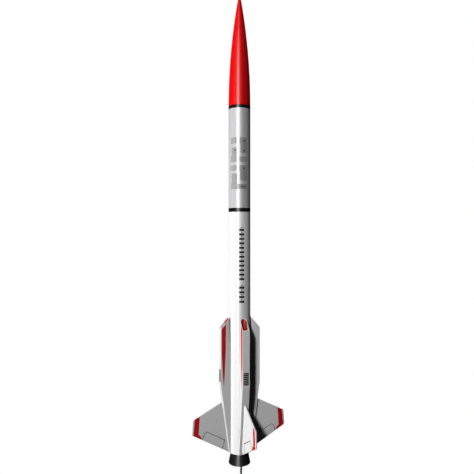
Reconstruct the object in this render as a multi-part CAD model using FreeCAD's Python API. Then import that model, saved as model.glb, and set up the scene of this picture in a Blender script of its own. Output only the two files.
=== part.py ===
"""Model rocket, standing on its tail.

Millimetres. The origin is the centre of the nozzle shroud's mouth, +Z runs up the
rocket's axis to the nose, and the four pods and fins lie along +X, +Y, -X and -Y.
"""

import FreeCAD, Part
import math
import os

from FreeCAD import Vector

# ---- airframe tubes -------------------------------------------------------------------
TUBE_R = 17.1  # outer radius of the body tubes
TUBE_WALL = 0.55
TUBE_BORE_R = TUBE_R - TUBE_WALL
TAIL_Z = 18.0  # bottom of the body tube
JOINT_Z = 395.5  # where the lower tube meets the upper one
TUBE_TOP_Z = 558.0
COUPLER_WALL = 0.6
COUPLER_HALF = 20.0
BAND_THICKNESS = 0.12
BAND_LOW_HALF = 3.0  # half height of the band over the tube joint
BAND_HIGH = 5.0  # height of the band under the nose cone

# ---- nose cone ------------------------------------------------------------------------
NOSE_LENGTH = 170.7
NOSE_TIP_R = 2.5
NOSE_WALL = 1.5
SHOULDER_LENGTH = 38.0
SHOULDER_PLAY = 0.05  # radial running clearance in the tube
SHOULDER_WALL = 1.2
SHOULDER_R = TUBE_BORE_R - SHOULDER_PLAY
SHOULDER_Z = TUBE_TOP_Z - SHOULDER_LENGTH
SOLID_TIP_R = 1.6  # the hollow stops where its radius falls to this

# ---- recovery gear, from the eyelet down ----------------------------------------------
PLUG_THICKNESS = 3.0
EYELET_R = 3.2
EYELET_WIRE_R = 0.7
SWIVEL_R = 2.6
SWIVEL_WIRE_R = 0.5
SWIVEL_PLAY = 0.15  # how loosely the swivel hangs in the eyelet
BARREL_R = 1.6
BARREL_LENGTH = 5.0
PACK_R = 12.6
PACK_Z = 376.0
PACK_LENGTH = 90.0
WRAP_R = 14.1  # outside of the lines wound round the pack
WRAP_Z = 440.0
WRAP_HEIGHT = 15.0
LINE_BUNDLE_R = 0.6
CORD_WIDTH = 3.2
CORD_THICKNESS = 0.9
CORD_LEAD_R = 15.1  # distance of the shock cord's rising run from the axis
CORD_BEND_R = 9.0
CORD_END_X = 1.0  # where the shock cord is tied, beside the swivel's ring
COIL_Z = 347.0
COIL_HEIGHT = 22.0
COIL_OUTER_R = 15.6
COIL_INNER_R = 9.5
BODY_GAP = 0.3  # between pieces that move apart
CORD_MOUNT_Z = 318.0
CORD_MOUNT_HEIGHT = 26.0
CORD_MOUNT_THICKNESS = 1.4
CORD_MOUNT_HALF_ANGLE = 28.0
WADDING_Z = 268.0
WADDING_HEIGHT = 44.0
WADDING_R = 16.2

# ---- motor mount and motor ------------------------------------------------------------
MOTOR_TUBE_R = 12.4
MOTOR_TUBE_BORE_R = 12.05
MOTOR_TUBE_TOP_Z = 96.0
RING_THICKNESS = 3.2
FRONT_RING_Z = 90.0
THRUST_RING_HEIGHT = 6.0
THRUST_RING_BORE_R = 9.0
MOTOR_R = 12.0
MOTOR_BORE_R = 9.5
MOTOR_Z = 10.0
MOTOR_LENGTH = 70.0
CLAY_TOP_Z = 22.0
THROAT_R = 1.9
THROAT_Z = 16.0
EXIT_CONE_R = 4.5
GRAIN_TOP_Z = 50.0
GRAIN_CORE_Z = 30.0
DELAY_TOP_Z = 62.0
CHARGE_TOP_Z = 72.0
CAP_TOP_Z = 74.5

# ---- nozzle shroud --------------------------------------------------------------------
SHROUD_MOUTH_R = 17.07
SHROUD_NECK_R = 13.6
SHROUD_WALL = 1.15

# ---- electric starter -----------------------------------------------------------------
PLUG_PLAY = 0.15  # gap between the starter's plug and the clay nozzle
PLUG_BOTTOM_Z = 5.0
PLUG_COLLAR_R = 4.5
PLUG_COLLAR_HEIGHT = 1.2
PLUG_TAPER_PLAY = 0.3  # more play where the plug enters the clay
STARTER_TIP_R = 1.1
STARTER_TIP_Z = 22.0
LEADS_R = 1.35  # of the twisted pair
# The two leads run down together in small kinks; x, y, z of the route's corners.
LEADS_ROUTE = (
    (0.0, 0.0, PLUG_BOTTOM_Z),
    (0.0, 0.0, -1.5),
    (3.2, -0.8, -8.0),
    (2.0, -0.2, -15.5),
    (3.4, 0.4, -24.0),
    (1.2, 0.2, -34.0),
    (2.2, -0.6, -44.0),
    (0.9, -0.2, -53.0),
)
LEADS_ARC_SHARE = 0.45

# ---- air-duct pods --------------------------------------------------------------------
POD_HALF = 5.7  # half the pod's width
POD_WALL = 0.9
POD_R = 32.0  # distance of the flat outer face from the axis
POD_ROUND_R = TUBE_R + POD_HALF  # centre of the half-round back, which touches the tube
POD_TAPER_Z = 125.8  # below this the outer face slopes in to the tube
POD_BLEND_Z = 150.0  # below this the sides run straight in to the tube
MOUTH_LIP_Z = 211.0  # the mouth's cut, at the outer face
MOUTH_SLOPE = 1.18  # rise of the cut per millimetre towards the axis
LINER_WALL = 0.5
LINER_Z = 165.0
LINER_PLAY = 0.02

# ---- fins -----------------------------------------------------------------------------
FIN_THICKNESS = 2.2
FIN_ROOT_TOP_Z = 97.8
FIN_LEADING_TIP = (74.85, 74.1)  # radius, height
FIN_TRAILING_TIP = (76.5, 51.0)
FIN_CHAMFER = 0.35  # on the three free edges, both sides

# ---- launch lugs ----------------------------------------------------------------------
LUG_BORE_R = 2.7
LUG_R = 3.1
LUG_LENGTH = 50.0
LUG_ANGLE = 45.0
LUG_LOW_Z = 66.0
LUG_HIGH_Z = 424.0

POD_ANGLES = {"right": 0.0, "back": 90.0, "left": 180.0, "front": 270.0}
UP = Vector(0, 0, 1)
AXIS_POINT = Vector(0, 0, 0)
BIG = 400.0  # larger than anything that a cutting block has to clear


# ---- small shapes ---------------------------------------------------------------------
def rod(radius, low, high):
    """A solid cylinder on the rocket's axis."""
    return Part.makeCylinder(radius, high - low, Vector(0, 0, low))


def ring(outer, inner, low, high):
    """A tube on the rocket's axis."""
    return rod(outer, low, high).cut(rod(inner, low, high))


def turned(edges):
    """The solid that a closed outline in the XZ plane sweeps round the axis."""
    face = Part.Face(Part.Wire(edges))
    return face.revolve(AXIS_POINT, UP, 360)


def segment(a, b):
    """A straight edge between two (radius, height) points."""
    return Part.LineSegment(Vector(a[0], 0, a[1]), Vector(b[0], 0, b[1])).toShape()


def outline(points):
    """The straight edges round a closed (radius, height) outline."""
    return [segment(a, b) for a, b in zip(points, points[1:] + points[:1])]


def arc_about(centre, radius, start, end):
    """An arc in the XZ plane about a centre, from a start point to an end point."""
    a = math.atan2(start[1] - centre[1], start[0] - centre[0])
    b = math.atan2(end[1] - centre[1], end[0] - centre[0])
    middle = (a + b) / 2
    between = (centre[0] + radius * math.cos(middle), centre[1] + radius * math.sin(middle))
    places = [Vector(p[0], 0, p[1]) for p in (start, between, end)]
    return Part.Arc(*places).toShape()


def slab(points, half):
    """A plate of an outline in the XZ plane, as thick as twice half, across the XZ plane."""
    face = Part.Face(Part.Wire(outline(points)))
    face.translate(Vector(0, -half, 0))
    return face.extrude(Vector(0, 2 * half, 0))


def turn(shape, angle):
    """A copy turned about the rocket's axis."""
    copy = shape.copy()
    copy.rotate(AXIS_POINT, UP, angle)
    return copy


def loop(radius, wire, z, across):
    """A wire ring that stands upright on the axis; across is its hole's direction."""
    return Part.makeTorus(radius, wire, Vector(0, 0, z), across)


# ---- airframe -------------------------------------------------------------------------
def lower_tube():
    return ring(TUBE_R, TUBE_BORE_R, TAIL_Z, JOINT_Z)


def upper_tube():
    return ring(TUBE_R, TUBE_BORE_R, JOINT_Z, TUBE_TOP_Z)


def coupler():
    return ring(TUBE_BORE_R, TUBE_BORE_R - COUPLER_WALL, JOINT_Z - COUPLER_HALF, JOINT_Z + COUPLER_HALF)


def band(low, high):
    return ring(TUBE_R + BAND_THICKNESS, TUBE_R, low, high)


def nozzle_shroud():
    inner_mouth = SHROUD_MOUTH_R - SHROUD_WALL
    inner_neck = SHROUD_NECK_R - SHROUD_WALL
    points = [
        (SHROUD_MOUTH_R, 0.0),
        (SHROUD_NECK_R, TAIL_Z),
        (inner_neck, TAIL_Z),
        (inner_mouth, 0.0),
    ]
    return turned(outline(points))


def centering_ring(low):
    return ring(TUBE_BORE_R, MOTOR_TUBE_R, low, low + RING_THICKNESS)


def launch_lug(low):
    lug = ring(LUG_R, LUG_BORE_R, low, low + LUG_LENGTH)
    lug.translate(Vector(TUBE_R + LUG_R, 0, 0))
    return turn(lug, LUG_ANGLE)


def shock_cord_mount():
    """A folded paper strip, glued round part of the tube's bore."""
    inner = TUBE_BORE_R - CORD_MOUNT_THICKNESS
    strip = ring(TUBE_BORE_R, inner, CORD_MOUNT_Z, CORD_MOUNT_Z + CORD_MOUNT_HEIGHT)
    half = math.radians(CORD_MOUNT_HALF_ANGLE)
    reach = 2 * TUBE_R
    corners = [
        Vector(0, 0, 0),
        Vector(-reach * math.cos(half), -reach * math.sin(half), 0),
        Vector(-reach * math.cos(half), reach * math.sin(half), 0),
        Vector(0, 0, 0),
    ]
    wedge = Part.Face(Part.makePolygon(corners)).extrude(Vector(0, 0, BIG))
    return strip.common(wedge)


# ---- pods and fins --------------------------------------------------------------------
def taper_radius(z):
    """How far the sloping part of a pod's outer face is from the axis, at a height."""
    share = (z - TAIL_Z) / (POD_TAPER_Z - TAIL_Z)
    return TUBE_R + share * (POD_R - TUBE_R)


def mouth_height(radius):
    """Height of the mouth's slanted cut, at a distance from the axis."""
    return MOUTH_LIP_Z + MOUTH_SLOPE * (POD_R - radius)


def round_section(half, z):
    """The inner half of a pod's section at its mouth: a half circle closed by its diameter."""

    def at(degrees):
        angle = math.radians(degrees)
        return Vector(POD_ROUND_R + half * math.cos(angle), half * math.sin(angle), z)

    edges = [Part.Arc(at(90 + 45 * i), at(112.5 + 45 * i), at(135 + 45 * i)).toShape() for i in range(4)]
    edges.append(Part.LineSegment(at(270), at(90)).toShape())
    return Part.Wire(edges)


def square_section(half, back, z):
    """The same half of the section lower down, where its sides run straight in to a flat back."""
    points = [
        Vector(POD_ROUND_R, half, z),
        Vector(back, half, z),
        Vector(back, 0, z),
        Vector(back, -half, z),
        Vector(POD_ROUND_R, -half, z),
    ]
    ends = points[1:] + points[:1]
    return Part.Wire([Part.LineSegment(a, b).toShape() for a, b in zip(points, ends)])


def pod_body(inset, back):
    """A pod's closed outer form, or with an inset its hollow, before the mouth is cut."""
    half = POD_HALF - inset
    face = POD_R - inset
    top = mouth_height(0)
    slope = (POD_TAPER_Z - TAIL_Z) / (POD_R - TUBE_R)
    slope_low = (back, TAIL_Z + (back - TUBE_R + inset) * slope)
    tail = slab([slope_low, (face, POD_TAPER_Z), (face, POD_BLEND_Z), (back, POD_BLEND_Z)], half)
    corners = [(POD_ROUND_R, POD_BLEND_Z), (face, POD_BLEND_Z), (face, top), (POD_ROUND_R, top)]
    outer = slab(corners, half)
    sections = [square_section(half, back, POD_BLEND_Z), round_section(half, top)]
    inner = Part.makeLoft(sections, True, True)
    return tail.fuse([outer, inner])


def below_mouth(shape):
    """What is left of a shape under the mouth's slanted cut."""
    far = 2 * POD_R
    points = [(0, -BIG), (0, mouth_height(0)), (far, mouth_height(far)), (far, -BIG)]
    return shape.common(slab(points, 2 * POD_HALF))


def pod_pieces():
    """The channel, the outer cover and the red intake liner of the pod on +X."""
    tube = rod(TUBE_R, -BIG, BIG)
    under_tail = Part.makeBox(BIG, BIG, BIG, Vector(-BIG / 2, -BIG / 2, TAIL_Z - BIG))
    whole = pod_body(0.0, TUBE_R - 2.0).cut([tube, under_tail])
    hollow = pod_body(POD_WALL, TUBE_R + POD_WALL)
    cover_back = [
        (0.0, -BIG),
        (0.0, TAIL_Z),
        (taper_radius(TAIL_Z) - POD_WALL, TAIL_Z),
        (POD_R - POD_WALL, POD_TAPER_Z),
        (POD_R - POD_WALL, BIG),
        (-POD_R, BIG),
        (-POD_R, -BIG),
    ]
    behind = slab(cover_back, 2 * POD_HALF)
    channel = below_mouth(whole.common(behind).cut(hollow))
    cover = below_mouth(whole.cut(behind))
    liner = below_mouth(intake_liner())
    return channel, cover, liner


def intake_liner():
    """A half-round trough that lines the back of the intake."""
    outer = POD_HALF - POD_WALL - LINER_PLAY
    low = LINER_Z
    high = mouth_height(0)
    trough = Part.makeCylinder(outer, high - low, Vector(POD_ROUND_R, 0, low))
    bore = Part.makeCylinder(outer - LINER_WALL, high - low, Vector(POD_ROUND_R, 0, low))
    half_space = Part.makeBox(POD_ROUND_R, 4 * POD_HALF, high, Vector(0, -2 * POD_HALF, 0))
    return trough.cut(bore).common(half_space)


def fin():
    """One fin on +X, its root lying on the pod's sloping face and its free edges chamfered."""
    points = [
        (taper_radius(FIN_ROOT_TOP_Z), FIN_ROOT_TOP_Z),
        FIN_LEADING_TIP,
        FIN_TRAILING_TIP,
        (taper_radius(TAIL_Z), TAIL_Z),
    ]
    blade = slab(points, FIN_THICKNESS / 2)
    root_r = points[0][0] + FIN_CHAMFER
    free = [
        edge
        for edge in blade.Edges
        if abs(edge.Vertexes[0].Y - edge.Vertexes[1].Y) < FIN_CHAMFER
        and max(vertex.X for vertex in edge.Vertexes) > root_r
    ]
    return blade.makeChamfer(FIN_CHAMFER, free)


# ---- nose and recovery gear -----------------------------------------------------------
def nose_cone():
    """A hollow tangent ogive with a round tip and a shoulder that slides in the tube."""
    to_tip_centre = NOSE_LENGTH - NOSE_TIP_R
    ogive_r = (to_tip_centre**2 / (TUBE_R - NOSE_TIP_R) + TUBE_R + NOSE_TIP_R) / 2
    ogive_centre = (TUBE_R - ogive_r, TUBE_TOP_Z)
    tip_centre = (0.0, TUBE_TOP_Z + to_tip_centre)
    lean = math.atan2(to_tip_centre, ogive_r - TUBE_R)
    touch = (NOSE_TIP_R * math.cos(lean), tip_centre[1] + NOSE_TIP_R * math.sin(lean))
    tip = (0.0, TUBE_TOP_Z + NOSE_LENGTH)
    inner_r = ogive_r - NOSE_WALL
    hollow_top_z = TUBE_TOP_Z + math.sqrt(inner_r**2 - (SOLID_TIP_R - ogive_centre[0]) ** 2)
    hollow_base = (TUBE_R - NOSE_WALL, TUBE_TOP_Z)
    shoulder_bore = SHOULDER_R - SHOULDER_WALL
    edges = [
        segment((SHOULDER_R, SHOULDER_Z), (SHOULDER_R, TUBE_TOP_Z)),
        segment((SHOULDER_R, TUBE_TOP_Z), (TUBE_R, TUBE_TOP_Z)),
        arc_about(ogive_centre, ogive_r, (TUBE_R, TUBE_TOP_Z), touch),
        arc_about(tip_centre, NOSE_TIP_R, touch, tip),
        segment(tip, (0.0, hollow_top_z)),
        segment((0.0, hollow_top_z), (SOLID_TIP_R, hollow_top_z)),
        arc_about(ogive_centre, inner_r, (SOLID_TIP_R, hollow_top_z), hollow_base),
        segment(hollow_base, (shoulder_bore, TUBE_TOP_Z - SHOULDER_WALL)),
        segment((shoulder_bore, TUBE_TOP_Z - SHOULDER_WALL), (shoulder_bore, SHOULDER_Z)),
        segment((shoulder_bore, SHOULDER_Z), (SHOULDER_R, SHOULDER_Z)),
    ]
    return turned(edges)


def eyelet_z():
    return SHOULDER_Z - EYELET_R


def nose_plug():
    """The disc that closes the shoulder, with the eyelet moulded under it."""
    disc = rod(SHOULDER_R - SHOULDER_WALL, SHOULDER_Z, SHOULDER_Z + PLUG_THICKNESS)
    return disc.fuse(loop(EYELET_R, EYELET_WIRE_R, eyelet_z(), Vector(0, 1, 0)))


def swivel_ring_z():
    """Height of the swivel's upper ring, hanging in the eyelet with a hair of play."""
    top_wire = eyelet_z() - EYELET_R + EYELET_WIRE_R + SWIVEL_WIRE_R + SWIVEL_PLAY
    return top_wire - SWIVEL_R


def swivel_foot_z():
    """Underside of the swivel's lower ring."""
    return swivel_ring_z() - 3 * SWIVEL_R - BARREL_LENGTH - SWIVEL_WIRE_R


def snap_swivel():
    upper = swivel_ring_z()
    barrel_top = upper - SWIVEL_R
    barrel_low = barrel_top - BARREL_LENGTH
    across = Vector(1, 0, 0)
    parts = [
        loop(SWIVEL_R, SWIVEL_WIRE_R, upper, across),
        loop(SWIVEL_R, SWIVEL_WIRE_R, barrel_low - SWIVEL_R, across),
    ]
    return rod(BARREL_R, barrel_low, barrel_top).fuse(parts)


def parachute():
    """The rolled canopy's outer form."""
    return rod(PACK_R, PACK_Z, PACK_Z + PACK_LENGTH)


def line_wrap():
    """The outer form of the shroud lines wound round the rolled canopy."""
    return ring(WRAP_R, PACK_R, WRAP_Z, WRAP_Z + WRAP_HEIGHT)


def smooth_route(points, share):
    """Straight runs joined by tangent arcs, with the arcs' radii, for points in space."""
    edges = []
    radii = []
    start = points[0]
    for before, corner, after in zip(points, points[1:], points[2:]):
        into = (corner - before).normalize()
        away = (after - corner).normalize()
        bend = into.getAngle(away)
        reach = share * min((corner - before).Length, (after - corner).Length)
        radius = reach / math.tan(bend / 2)
        first = corner - into * reach
        last = corner + away * reach
        to_centre = (away - into).normalize()
        centre = corner + to_centre * (radius / math.cos(bend / 2))
        middle = centre - to_centre * radius
        edges.append(Part.LineSegment(start, first).toShape())
        edges.append(Part.Arc(first, middle, last).toShape())
        radii.append(radius)
        start = last
    edges.append(Part.LineSegment(start, points[-1]).toShape())
    return Part.Wire(edges), radii


def round_cord(points, radius, name):
    """A round cord along a route, and a line on its bends, length and volume."""
    path, radii = smooth_route(points, LEADS_ARC_SHARE)
    along = (points[1] - points[0]).normalize()
    section = Part.Wire(Part.makeCircle(radius, points[0], along))
    cord = path.makePipeShell([section], True, False)
    expected = math.pi * radius**2 * path.Length
    print(f"{name}: length {path.Length:.1f}, radii {[round(r, 1) for r in radii]}")
    print(f"{name}: volume {cord.Volume:.1f}, section times length {expected:.1f}")
    return cord


def line_bridle():
    """The six shroud lines running together from the wrap to the swivel."""
    foot = swivel_foot_z()
    x = -(PACK_R + WRAP_R) / 2 - 0.1
    top = WRAP_Z + WRAP_HEIGHT
    points = [
        Vector(x, 0, top),
        Vector(x, 0, top + 14.0),
        Vector(x / 2, 0, top + 28.0),
        Vector(-LINE_BUNDLE_R, 0, foot - LINE_BUNDLE_R),
    ]
    return round_cord(points, LINE_BUNDLE_R, "line_bridle")


def shock_cord_lead():
    """The flat elastic's run from the coil, up beside the canopy, in to the swivel."""
    half = CORD_THICKNESS / 2
    bottom = COIL_Z + COIL_HEIGHT + BODY_GAP
    top = swivel_foot_z() - BODY_GAP - CORD_THICKNESS
    outer = CORD_LEAD_R + half
    inner = CORD_LEAD_R - half
    centre = (CORD_LEAD_R - CORD_BEND_R, top - CORD_BEND_R + half)
    bend_x, bend_z = centre
    over = bend_z + CORD_BEND_R + half
    under = bend_z + CORD_BEND_R - half
    edges = [
        segment((outer, bottom), (outer, bend_z)),
        arc_about(centre, CORD_BEND_R + half, (outer, bend_z), (bend_x, over)),
        segment((bend_x, over), (CORD_END_X, over)),
        segment((CORD_END_X, over), (CORD_END_X, under)),
        segment((CORD_END_X, under), (bend_x, under)),
        arc_about(centre, CORD_BEND_R - half, (bend_x, under), (inner, bend_z)),
        segment((inner, bend_z), (inner, bottom)),
        segment((inner, bottom), (outer, bottom)),
    ]
    face = Part.Face(Part.Wire(edges))
    face.translate(Vector(0, -CORD_WIDTH / 2, 0))
    return face.extrude(Vector(0, CORD_WIDTH, 0))


def shock_cord_coil():
    """The outer form of the coiled part of the shock cord."""
    return ring(COIL_OUTER_R, COIL_INNER_R, COIL_Z, COIL_Z + COIL_HEIGHT)


# ---- motor and starter ----------------------------------------------------------------
def clay_nozzle():
    points = [
        (MOTOR_BORE_R, MOTOR_Z),
        (MOTOR_BORE_R, CLAY_TOP_Z),
        (THROAT_R, CLAY_TOP_Z),
        (THROAT_R, THROAT_Z),
        (EXIT_CONE_R, MOTOR_Z),
    ]
    return turned(outline(points))


def propellant_grain():
    core = rod(THROAT_R, CLAY_TOP_Z, GRAIN_CORE_Z)
    return rod(MOTOR_BORE_R, CLAY_TOP_Z, GRAIN_TOP_Z).cut(core)


def starter_plug():
    """A tapered plastic plug that holds the starter in the clay nozzle."""
    points = [
        (0.0, PLUG_BOTTOM_Z),
        (PLUG_COLLAR_R, PLUG_BOTTOM_Z),
        (PLUG_COLLAR_R, PLUG_BOTTOM_Z + PLUG_COLLAR_HEIGHT),
        (EXIT_CONE_R - PLUG_PLAY - PLUG_TAPER_PLAY, MOTOR_Z),
        (THROAT_R - PLUG_PLAY, THROAT_Z - PLUG_PLAY),
        (0.0, THROAT_Z - PLUG_PLAY),
    ]
    return turned(outline(points))


def starter_tip():
    low = THROAT_Z - PLUG_PLAY
    bulb = Part.makeSphere(STARTER_TIP_R, Vector(0, 0, STARTER_TIP_Z))
    return rod(STARTER_TIP_R, low, STARTER_TIP_Z).fuse(bulb)


def starter_leads():
    return round_cord([Vector(*p) for p in LEADS_ROUTE], LEADS_R, "starter_leads")


# ---- writing the pieces ---------------------------------------------------------------
def save(name, shape):
    """Write one piece, as one clean solid, to parts/NAME.step."""
    solid = shape.removeSplitter()
    solids = solid.Solids
    if len(solids) != 1 or not solid.isValid():
        raise ValueError(f"{name}: {len(solids)} solids, valid {solid.isValid()}")
    solids[0].exportStep(os.path.join("parts", name + ".step"))
    box = solids[0].BoundBox
    print(f"{name}: {solids[0].Volume:.1f} mm3, z {box.ZMin:.2f} to {box.ZMax:.2f}")


def save_airframe():
    save("lower_body_tube", lower_tube())
    save("upper_body_tube", upper_tube())
    save("tube_coupler", coupler())
    save("joint_band", band(JOINT_Z - BAND_LOW_HALF, JOINT_Z + BAND_LOW_HALF))
    save("nose_end_band", band(TUBE_TOP_Z - BAND_HIGH, TUBE_TOP_Z))
    save("nozzle_shroud", nozzle_shroud())
    save("motor_tube", ring(MOTOR_TUBE_R, MOTOR_TUBE_BORE_R, TAIL_Z, MOTOR_TUBE_TOP_Z))
    save("rear_centering_ring", centering_ring(TAIL_Z))
    save("front_centering_ring", centering_ring(FRONT_RING_Z))
    stop = MOTOR_Z + MOTOR_LENGTH
    save("thrust_ring", ring(MOTOR_TUBE_BORE_R, THRUST_RING_BORE_R, stop, stop + THRUST_RING_HEIGHT))
    save("lower_launch_lug", launch_lug(LUG_LOW_Z))
    save("upper_launch_lug", launch_lug(LUG_HIGH_Z))
    save("shock_cord_mount", shock_cord_mount())
    save("shock_cord_coil", shock_cord_coil())
    save("wadding", rod(WADDING_R, WADDING_Z, WADDING_Z + WADDING_HEIGHT))


def save_pods_and_fins():
    channel, cover, liner = pod_pieces()
    blade = fin()
    for side, angle in POD_ANGLES.items():
        save(f"pod_channel_{side}", turn(channel, angle))
        save(f"pod_cover_{side}", turn(cover, angle))
        save(f"intake_liner_{side}", turn(liner, angle))
        save(f"fin_{side}", turn(blade, angle))


def save_nose():
    save("nose_cone", nose_cone())
    save("nose_plug", nose_plug())
    save("snap_swivel", snap_swivel())
    save("parachute", parachute())
    save("shroud_line_wrap", line_wrap())
    save("shroud_line_bridle", line_bridle())
    save("shock_cord_lead", shock_cord_lead())


def save_motor():
    save("motor_casing", ring(MOTOR_R, MOTOR_BORE_R, MOTOR_Z, MOTOR_Z + MOTOR_LENGTH))
    save("clay_nozzle", clay_nozzle())
    save("propellant_grain", propellant_grain())
    save("delay_charge", rod(MOTOR_BORE_R, GRAIN_TOP_Z, DELAY_TOP_Z))
    save("ejection_charge", rod(MOTOR_BORE_R, DELAY_TOP_Z, CHARGE_TOP_Z))
    save("motor_end_cap", rod(MOTOR_BORE_R, CHARGE_TOP_Z, CAP_TOP_Z))
    save("starter_plug", starter_plug())
    save("starter_tip", starter_tip())
    save("starter_leads", starter_leads())


os.makedirs("parts", exist_ok=True)
save_airframe()
save_pods_and_fins()
save_nose()
save_motor()
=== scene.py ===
# %% [markdown]
# # A model rocket: looks for a finished design
# The rocket's parts, sizes and joints are already settled in a CAD model. This lesson loads
# that model as a fixed frame and gives it what CAD can't: paint, printed film, thread, elastic,
# a rolled parachute and crumpled tissue. No CAD part is moved or resized. Lengths are in metres.

# %% Load the fixed frame
import math

import bmesh
import bpy
from mathutils import Matrix, Vector, noise


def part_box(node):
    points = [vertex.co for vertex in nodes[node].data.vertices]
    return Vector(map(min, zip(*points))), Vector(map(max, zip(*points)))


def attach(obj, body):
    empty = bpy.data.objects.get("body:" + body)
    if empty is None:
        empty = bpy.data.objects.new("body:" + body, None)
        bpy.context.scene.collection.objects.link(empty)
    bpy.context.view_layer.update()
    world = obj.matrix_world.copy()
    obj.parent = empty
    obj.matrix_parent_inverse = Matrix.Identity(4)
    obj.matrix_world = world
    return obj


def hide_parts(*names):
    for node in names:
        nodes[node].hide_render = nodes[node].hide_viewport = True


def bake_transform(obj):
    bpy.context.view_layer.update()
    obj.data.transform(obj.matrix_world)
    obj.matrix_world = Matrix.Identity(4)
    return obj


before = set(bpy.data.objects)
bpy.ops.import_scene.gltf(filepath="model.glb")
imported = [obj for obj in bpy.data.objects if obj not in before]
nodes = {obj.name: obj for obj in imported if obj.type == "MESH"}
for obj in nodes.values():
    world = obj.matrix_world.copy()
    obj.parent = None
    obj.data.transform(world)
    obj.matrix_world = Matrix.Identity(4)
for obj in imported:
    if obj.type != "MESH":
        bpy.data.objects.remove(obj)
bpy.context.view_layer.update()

MM = 0.001

# %% [markdown]
# ## Reading sizes from the frame
# Every place that a new piece needs comes from the corners of a CAD node, so the looks follow
# the design if it changes. A rocket is round, so most sizes are a radius or a height.

# %% Radii and heights that later cells use


def radius_of(node):
    """Half the width of a node that is round about the rocket's axis."""
    low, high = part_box(node)
    return (high[0] - low[0]) / 2


def span_of(node):
    """The lowest and highest z of a node."""
    low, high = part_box(node)
    return low[2], high[2]


tube_r = radius_of("lower_body_tube")
tail_z = span_of("lower_body_tube")[0]
tip_z = span_of("nose_cone")[1]
pod_face_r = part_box("pod_cover_right")[1][0]
pod_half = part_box("pod_cover_right")[1][1]
print(f"tube radius {tube_r / MM:.2f} mm, tail {tail_z / MM:.1f}, nose tip {tip_z / MM:.1f} mm")

# %% [markdown]
# ## The camera
# The rocket is tall and thin, and it is seen square on, from the middle of its height, so its
# sides stay upright in the picture. A lens near 37 mm on a 36 mm sensor, three quarters of a
# metre away, shows the tips of the fins with the same strong perspective as a hand-held view.
# The camera could look down at the rocket instead, but then the tube would lean in the frame.

# %% Place the camera
VIEW_AZIMUTH = math.radians(-18.5)
VIEW_DISTANCE = 0.7686
VIEW_HEIGHT = 0.3535
LENS_MM = 37.11
AXIS_OFFSET = -0.00519  # as a share of the picture's width

camera_data = bpy.data.cameras.new("studio_camera")
camera_data.sensor_width = 36.0
camera_data.lens = LENS_MM
camera_data.shift_x = AXIS_OFFSET
camera = bpy.data.objects.new("studio_camera", camera_data)
bpy.context.scene.collection.objects.link(camera)
camera.location = (
    VIEW_DISTANCE * math.sin(VIEW_AZIMUTH),
    -VIEW_DISTANCE * math.cos(VIEW_AZIMUTH),
    VIEW_HEIGHT,
)
camera.rotation_euler = (math.radians(90), 0, VIEW_AZIMUTH)
bpy.context.scene.camera = camera
print("camera at", [round(c, 3) for c in camera.location])

# %% [markdown]
# ## Light
# White paint shows its roundness only if one side is much brighter, and a crisp shadow tells the
# eye how far a pod stands off the tube. One big soft light would lose both. Three lights share
# the work. The key light, high on the left, is small enough to throw the pods' shadows. A side
# light burns out the left edge. A tall strip is seen only in reflections, and draws the bright
# line down the plastic. None of them bounces from part to part, which keeps the shade deep. Three
# more stand behind the rocket, for anyone who walks round it.

# %% Hang the lights
scene = bpy.context.scene
scene.view_settings.view_transform = "Standard"
scene.view_settings.look = "None"
MIDDLE = Vector((0, 0, VIEW_HEIGHT))


def soft_light(name, azimuth, rise, distance, size, power, diffuse=True, glossy=True):
    """A rectangular light facing the rocket's middle, azimuth in degrees from the camera."""
    data = bpy.data.lights.new(name, "AREA")
    data.shape = "RECTANGLE"
    data.size, data.size_y = size
    data.energy = power
    data.cycles.max_bounces = 0  # direct light only
    light = bpy.data.objects.new(name, data)
    scene.collection.objects.link(light)
    turn = VIEW_AZIMUTH + math.radians(azimuth)
    light.location = MIDDLE + Vector((distance * math.sin(turn), -distance * math.cos(turn), rise))
    light.rotation_euler = (MIDDLE - light.location).to_track_quat("-Z", "Y").to_euler()
    light.visible_diffuse = diffuse
    light.visible_glossy = glossy
    return light


lights = [
    soft_light("key_light", -18.7, 1.20, 2.4, (0.24, 0.24), 43.6, glossy=False),
    soft_light("side_light", -72, 0.0, 1.5, (0.16, 1.4), 24.0, glossy=False),
    soft_light("reflected_strip", -15, 0.1, 1.5, (0.30, 2.2), 34.0, diffuse=False),
    soft_light("back_left_light", -150, 1.20, 2.4, (0.8, 0.8), 16.0, glossy=False),
    soft_light("back_right_light", 162, 0.80, 2.4, (0.8, 0.8), 36.0, glossy=False),
    soft_light("back_strip", 180, 0.1, 1.5, (0.25, 2.2), 20.0, diffuse=False),
]
print("lights:", [light.name for light in lights])

# %% [markdown]
# ## The studio around it
# A white world would light the shaded side too, so the world is white only where the camera
# looks straight at it, and nearly dark for everything else. The pale round floor below is
# treated the same way: a part of its brightness is a glow that only the camera sees.

# %% World and floor
FLOOR_Z = -0.25
FLOOR_R = 0.44
AMBIENT = 0.007
FLOOR_GLOW = 0.35

world = bpy.data.worlds.new("studio")
scene.world = world
world.use_nodes = True
wires = world.node_tree
wires.nodes.clear()
backdrop = wires.nodes.new("ShaderNodeBackground")
backdrop.inputs["Color"].default_value = (1, 1, 1, 1)
backdrop.inputs["Strength"].default_value = 1.0
ambient = wires.nodes.new("ShaderNodeBackground")
ambient.inputs["Color"].default_value = (1, 1, 1, 1)
ambient.inputs["Strength"].default_value = AMBIENT
seen = wires.nodes.new("ShaderNodeLightPath")
either = wires.nodes.new("ShaderNodeMixShader")
output = wires.nodes.new("ShaderNodeOutputWorld")
wires.links.new(seen.outputs["Is Camera Ray"], either.inputs[0])
wires.links.new(ambient.outputs[0], either.inputs[1])
wires.links.new(backdrop.outputs[0], either.inputs[2])
wires.links.new(either.outputs[0], output.inputs[0])

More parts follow.
